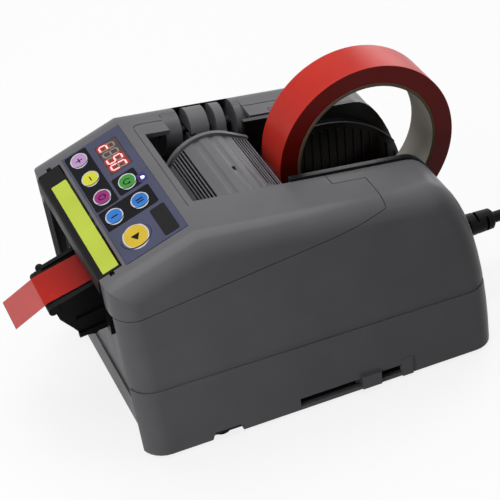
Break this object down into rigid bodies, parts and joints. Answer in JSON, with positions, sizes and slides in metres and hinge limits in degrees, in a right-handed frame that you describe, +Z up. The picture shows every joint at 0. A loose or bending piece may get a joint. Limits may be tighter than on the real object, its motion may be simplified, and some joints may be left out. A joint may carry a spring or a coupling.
{
  "type": "electric tape dispenser",
  "caption": "Desk-top electric tape dispenser: two-part moulded housing, sloping key panel, hinged ribbed feed cover, guillotine cutter and an open well holding the tape roll.",
  "frame": {"origin": "on the table under the middle of the object's box, midway between the tape's free end and the roll's rear", "axes": "+X to the rear where the lead leaves, +Y to the side with the feed cover's hinge, +Z up"},
  "size_m": [0.464, 0.1642, 0.1581],
  "materials": {
    "housing_grey": "moulded ABS, fine grain, semi-gloss",
    "apron_grey": "moulded ABS",
    "black_plastic": "moulded ABS, black",
    "black_rubber": "moulded rubber",
    "pvc_black": "PVC lead sheath",
    "base_black": "sheet steel, black paint",
    "steel": "sheet steel",
    "ground_steel": "ground steel",
    "bronze": "sintered bronze",
    "brass": "turned brass",
    "gear_white": "acetal",
    "roller_grey": "moulded rubber",
    "silicone": "silicone rubber rings on a hub",
    "tape_red": "film tape",
    "card": "card tube",
    "membrane": "printed polyester membrane",
    "filter_red": "tinted acrylic",
    "pcb": "glass-epoxy board with components",
    "winding": "laminations and varnished winding",
    "motor_can": "zinc-plated can",
    "led_lens": "clear lens",
    "key_pink": "moulded key",
    "key_yellow": "moulded key",
    "key_magenta": "moulded key",
    "key_blue": "moulded key",
    "key_green": "moulded key",
    "key_amber": "moulded key"
  },
  "bodies": {
    "housing": {"top_cover": "housing_grey", "lower_body": "housing_grey", "base_plate": "base_black", "feet": "black_rubber", "base_screws": "steel", "front_apron": "apron_grey", "overlay": "membrane", "display_window": "filter_red", "indicator_led": "led_lens", "control_board": "pcb", "outlet_tray": "black_plastic", "tape_tail": "tape_red", "fixed_blade": "ground_steel", "cutter_motor": "motor_can", "hinge_pin": "ground_steel", "hinge_spring": "steel", "feed_motor": "motor_can", "guide_shaft": "ground_steel", "feed_guide": "steel", "frame_near": "steel", "frame_far": "steel", "shaft_bushes": "bronze", "near_side_plate": "black_plastic", "far_side_plate": "black_plastic", "well_floor": "black_plastic", "idle_axles": "ground_steel", "tape_web": "tape_red", "main_board": "pcb", "transformer": "winding", "switch_body": "black_plastic", "strain_relief": "pvc_black", "cord": "pvc_black", "cord_coil": "pvc_black", "coil_tie": "black_plastic", "plug": "pvc_black", "plug_pins": "brass"},
    "feed_cover": {"feed_cover": "housing_grey", "pressure_shaft": "ground_steel"},
    "pressure_roller": {"pressure_roller": "roller_grey"},
    "drive": {"drive_roller": "silicone", "drive_shaft": "ground_steel", "drive_gear": "gear_white"},
    "pinion": {"motor_pinion": "brass"},
    "guide_roller": {"guide_roller": "gear_white"},
    "roll": {"tape_roll": "tape_red", "roll_core": "card"},
    "idle_front": {"idle_roller_front": "black_plastic"},
    "idle_rear": {"idle_roller_rear": "black_plastic"},
    "guard": {"front_guard": "black_plastic"},
    "crank": {"cutter_crank": "steel"},
    "blade": {"moving_blade": "ground_steel"},
    "rocker": {"switch_rocker": "black_plastic"},
    "slider": {"side_slider": "apron_grey"},
    "key_plus": {"key_plus": "key_pink"},
    "key_minus": {"key_minus": "key_yellow"},
    "key_mode": {"key_mode": "key_magenta"},
    "key_memory_front": {"key_memory_front": "key_blue"},
    "key_auto": {"key_auto": "key_green"},
    "key_memory_rear": {"key_memory_rear": "key_blue"},
    "key_start": {"key_start": "key_amber"}
  },
  "joints": [
    {"name": "feed_cover_hinge", "type": "hinge", "parent": "housing", "child": "feed_cover", "pos_m": [0.009, 0.0546, 0.10811], "axis": [-0.9929, 0, 0.1191], "range_deg": [0, 88]},
    {"name": "pressure_roller_spin", "type": "hinge", "parent": "feed_cover", "child": "pressure_roller", "pos_m": [-0.001, 0, 0.11105], "axis": [0, 1, 0], "continuous": true},
    {"name": "drive_spin", "type": "hinge", "parent": "housing", "child": "drive", "pos_m": [-0.001, 0, 0.092], "axis": [0, 1, 0], "continuous": true},
    {"name": "pinion_spin", "type": "hinge", "parent": "housing", "child": "pinion", "pos_m": [0.00583, 0, 0.0665], "axis": [0, 1, 0], "continuous": true},
    {"name": "guide_roller_spin", "type": "hinge", "parent": "housing", "child": "guide_roller", "pos_m": [0.01747, 0, 0.08614], "axis": [0, 1, 0], "continuous": true},
    {"name": "roll_spin", "type": "hinge", "parent": "housing", "child": "roll", "pos_m": [0.0752, 0, 0.1083], "axis": [0, 1, 0], "continuous": true},
    {"name": "idle_front_spin", "type": "hinge", "parent": "housing", "child": "idle_front", "pos_m": [0.05166, 0, 0.05782], "axis": [0, 1, 0], "continuous": true},
    {"name": "idle_rear_spin", "type": "hinge", "parent": "housing", "child": "idle_rear", "pos_m": [0.09874, 0, 0.05782], "axis": [0, 1, 0], "continuous": true},
    {"name": "guard_hinge", "type": "hinge", "parent": "housing", "child": "guard", "pos_m": [-0.07973, 0, 0.10926], "axis": [0, 1, 0], "range_deg": [0, 70]},
    {"name": "crank_turn", "type": "hinge", "parent": "housing", "child": "crank", "pos_m": [-0.0612, 0, 0.0614], "axis": [1, 0, 0], "range_deg": [0, 180]},
    {"name": "blade_slide", "type": "slide", "parent": "housing", "child": "blade", "axis": [0, 0, 1], "range_m": [-0.007, 0]},
    {"name": "rocker_tilt", "type": "hinge", "parent": "housing", "child": "rocker", "pos_m": [0.11663, 0.048, 0.038], "axis": [0, 1, 0], "range_deg": [-8, 8]},
    {"name": "slider_slide", "type": "slide", "parent": "housing", "child": "slider", "axis": [1, 0, 0], "range_m": [-0.033, 0.012]},
    {"name": "key_plus_press", "type": "slide", "parent": "housing", "child": "key_plus", "axis": [0.3342, 0, -0.9425], "range_m": [0, 0.0006]},
    {"name": "key_minus_press", "type": "slide", "parent": "housing", "child": "key_minus", "axis": [0.3342, 0, -0.9425], "range_m": [0, 0.0006]},
    {"name": "key_mode_press", "type": "slide", "parent": "housing", "child": "key_mode", "axis": [0.3342, 0, -0.9425], "range_m": [0, 0.0006]},
    {"name": "key_memory_front_press", "type": "slide", "parent": "housing", "child": "key_memory_front", "axis": [0.3342, 0, -0.9425], "range_m": [0, 0.0006]},
    {"name": "key_auto_press", "type": "slide", "parent": "housing", "child": "key_auto", "axis": [0.3342, 0, -0.9425], "range_m": [0, 0.0006]},
    {"name": "key_memory_rear_press", "type": "slide", "parent": "housing", "child": "key_memory_rear", "axis": [0.3342, 0, -0.9425], "range_m": [0, 0.0006]},
    {"name": "key_start_press", "type": "slide", "parent": "housing", "child": "key_start", "axis": [0.3342, 0, -0.9425], "range_m": [0, 0.0006]}
  ],
  "couplings": [
    {"joint": "pinion_spin", "follows": "drive_spin", "ratio": -3.4},
    {"joint": "idle_front_spin", "follows": "roll_spin", "ratio": -8.8929},
    {"joint": "idle_rear_spin", "follows": "roll_spin", "ratio": -8.8929},
    {"joint": "blade_slide", "follows": "crank_turn", "m_per_rad": -0.0022282}
  ]
}
